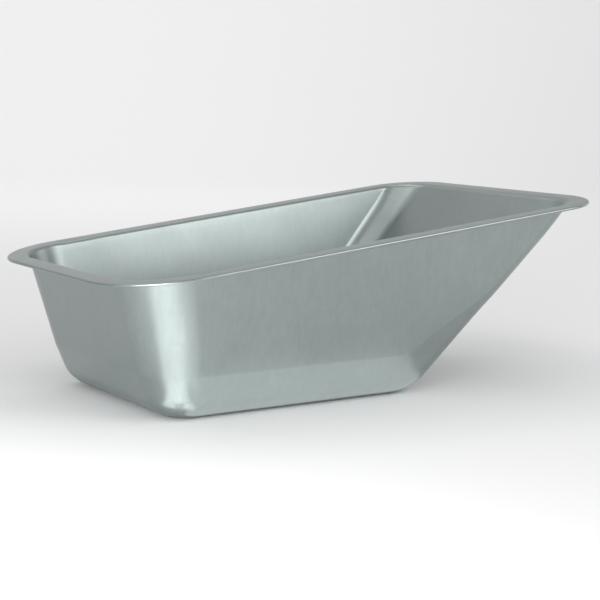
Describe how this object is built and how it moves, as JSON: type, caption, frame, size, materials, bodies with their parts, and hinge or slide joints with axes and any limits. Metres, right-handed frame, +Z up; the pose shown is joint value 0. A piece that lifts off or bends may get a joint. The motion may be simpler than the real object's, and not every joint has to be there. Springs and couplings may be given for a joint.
{
  "type": "livestock water trough",
  "caption": "Deep-drawn galvanised steel pan with a flat floor, steep rear and side walls, a long sloping nose and a flat flange rolled round a rim wire; holds water or feed.",
  "frame": {"origin": "on the ground under the middle of the bounding box", "axes": "+X from the rear wall to the nose, +Y to the left when looking along +X, +Z up"},
  "size_m": [0.8982, 0.5696, 0.3152],
  "materials": {
    "galvanised_sheet": "hot-dip galvanised sheet, satin, with faint upright drawing streaks",
    "steel_wire": "plain drawn wire, dull"
  },
  "bodies": {
    "root": {"pan": "galvanised_sheet", "rim_wire": "steel_wire"}
  },
  "joints": []
}
